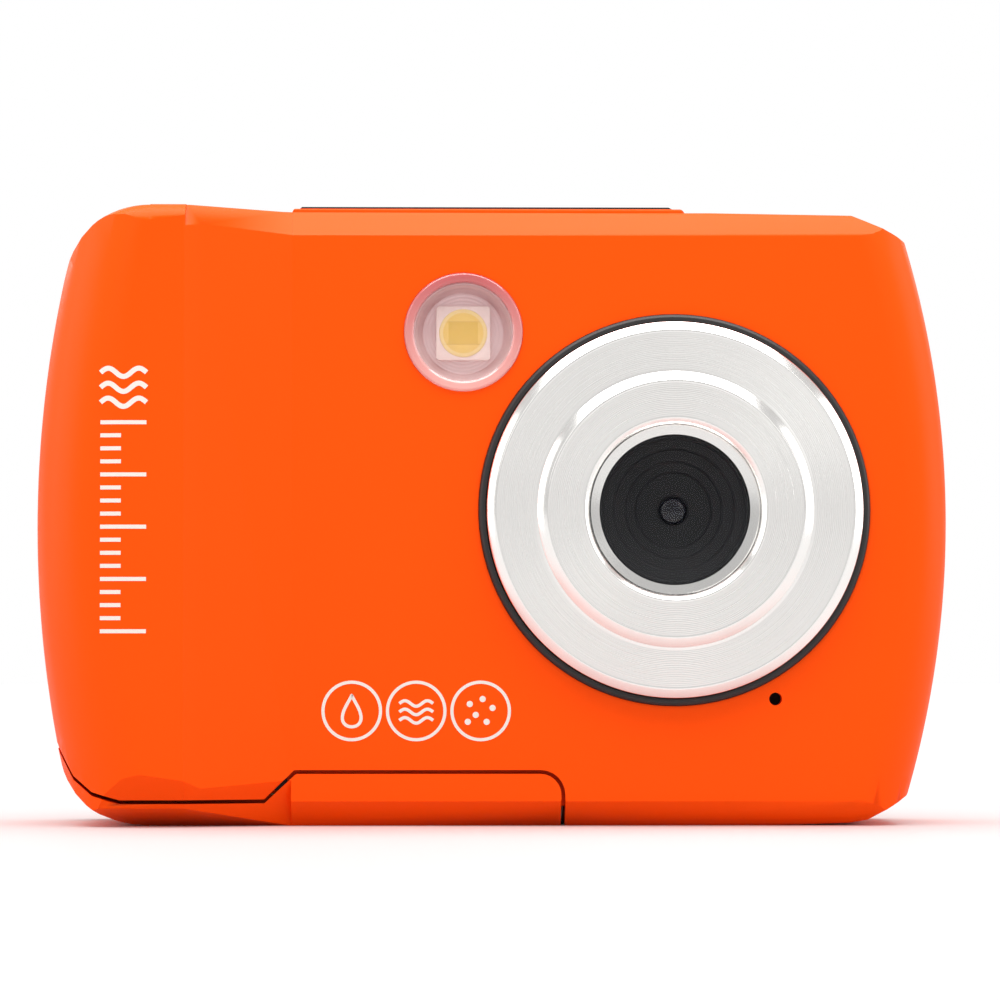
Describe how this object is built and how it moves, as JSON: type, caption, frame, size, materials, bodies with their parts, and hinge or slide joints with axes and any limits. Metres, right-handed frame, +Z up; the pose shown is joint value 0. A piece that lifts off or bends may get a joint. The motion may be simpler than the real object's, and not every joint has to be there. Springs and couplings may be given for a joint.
{
  "type": "compact waterproof camera",
  "caption": "Compact splash-proof camera with a moulded grip, wide ringed lens bezel, round LED flash, flush top keys, rear display and controls, and a hinged battery door with a sliding latch.",
  "frame": {"origin": "bottom centre of the whole camera, on the surface it stands on", "axes": "+X to the right seen from the front, +Y to the back (the lens looks along -Y), +Z up"},
  "size_m": [0.0928, 0.026, 0.0632],
  "materials": {
    "orange_plastic": "satin moulded plastic",
    "seal_rubber": "soft seal rubber",
    "keypad_silicone": "silicone",
    "black_plastic": "fine satin black",
    "hood_black": "matt black",
    "bezel_metal": "turned rings with polished chamfers",
    "clear_window": "clear",
    "flash_clear": "clear, faintly warm",
    "reflector_metal": "bright",
    "led_ceramic": "white",
    "led_phosphor": "yellow",
    "board_white": "white",
    "board_green": "green",
    "chip_black": "black",
    "steel": "plain",
    "contact_metal": "plated",
    "display_window": "gloss",
    "display_black": "gloss",
    "led_lens": "translucent",
    "cell_wrap": "printed film",
    "cradle_plastic": "satin",
    "card_plastic": "satin",
    "brass": "machined"
  },
  "bodies": {
    "case": {"front_shell": "orange_plastic", "rear_shell": "orange_plastic", "shell_gasket": "seal_rubber", "top_plate": "black_plastic", "top_keypad": "keypad_silicone", "top_board": "board_green", "speaker": "black_plastic", "lens_trim_ring": "black_plastic", "lens_outer_ring": "bezel_metal", "lens_inner_ring": "bezel_metal", "lens_window": "clear_window", "lens_hood": "hood_black", "lens_element": "clear_window", "lens_barrel": "hood_black", "lens_holder": "hood_black", "infrared_filter": "clear_window", "image_sensor": "chip_black", "sensor_board": "board_green", "flash_window": "flash_clear", "flash_reflector": "reflector_metal", "flash_led": "led_ceramic", "flash_phosphor": "led_phosphor", "flash_board": "board_white", "microphone": "steel", "microphone_boot": "seal_rubber", "main_board": "board_green", "board_chips": "chip_black", "lcd_window": "display_window", "lcd_border": "display_black", "lcd_module": "display_black", "rear_keypad": "keypad_silicone", "button_board": "board_green", "switch_domes": "steel", "status_led": "led_lens", "battery_cells": "cell_wrap", "battery_cradle": "cradle_plastic", "upper_contacts": "contact_metal", "hinge_pin": "steel", "card_slot": "steel", "memory_card": "card_plastic", "usb_port": "steel", "tripod_socket": "brass", "strap_bar": "steel", "case_screws": "steel"},
    "door": {"battery_door": "orange_plastic", "door_seal": "seal_rubber", "door_contact": "contact_metal", "door_springs": "steel"},
    "latch": {"door_latch": "black_plastic"},
    "shutter": {"shutter_button": "black_plastic"},
    "power": {"power_button": "black_plastic"},
    "zoom": {"zoom_rocker": "black_plastic"},
    "mode": {"mode_button": "black_plastic"},
    "play": {"play_button": "black_plastic"},
    "menu": {"menu_button": "black_plastic"},
    "delete": {"delete_button": "black_plastic"},
    "ok": {"ok_button": "black_plastic"},
    "carrier": {"dpad_carrier": "keypad_silicone"},
    "pad": {"dpad_ring": "black_plastic"}
  },
  "joints": [
    {"name": "door_hinge", "type": "hinge", "parent": "case", "child": "door", "pos_m": [0, 0.0088, 0.0022], "axis": [1, 0, 0], "range_deg": [0, 90]},
    {"name": "latch_slide", "type": "slide", "parent": "door", "child": "latch", "axis": [1, 0, 0], "range_m": [0, 0.0026]},
    {"name": "shutter_press", "type": "slide", "parent": "case", "child": "shutter", "axis": [0, 0, -1], "range_m": [0, 0.0005], "stiffness_N_per_m": 600},
    {"name": "power_press", "type": "slide", "parent": "case", "child": "power", "axis": [0, 0, -1], "range_m": [0, 0.0005], "stiffness_N_per_m": 600},
    {"name": "mode_press", "type": "slide", "parent": "case", "child": "mode", "axis": [0, -1, 0], "range_m": [0, 0.0005], "stiffness_N_per_m": 600},
    {"name": "play_press", "type": "slide", "parent": "case", "child": "play", "axis": [0, -1, 0], "range_m": [0, 0.0005], "stiffness_N_per_m": 600},
    {"name": "menu_press", "type": "slide", "parent": "case", "child": "menu", "axis": [0, -1, 0], "range_m": [0, 0.0005], "stiffness_N_per_m": 600},
    {"name": "delete_press", "type": "slide", "parent": "case", "child": "delete", "axis": [0, -1, 0], "range_m": [0, 0.0005], "stiffness_N_per_m": 600},
    {"name": "ok_press", "type": "slide", "parent": "case", "child": "ok", "axis": [0, -1, 0], "range_m": [0, 0.0005], "stiffness_N_per_m": 600},
    {"name": "zoom_rock", "type": "hinge", "parent": "case", "child": "zoom", "pos_m": [-0.0295, 0.0106, 0.051], "axis": [0, 0, 1], "range_deg": [-4, 4], "stiffness_Nm_per_rad": 0.05},
    {"name": "pad_left_right", "type": "hinge", "parent": "case", "child": "carrier", "pos_m": [-0.0295, 0.011, 0.028], "axis": [0, 0, 1], "range_deg": [-2.5, 2.5], "stiffness_Nm_per_rad": 0.05},
    {"name": "pad_up_down", "type": "hinge", "parent": "carrier", "child": "pad", "pos_m": [-0.0295, 0.011, 0.028], "axis": [1, 0, 0], "range_deg": [-2.5, 2.5], "stiffness_Nm_per_rad": 0.05}
  ]
}
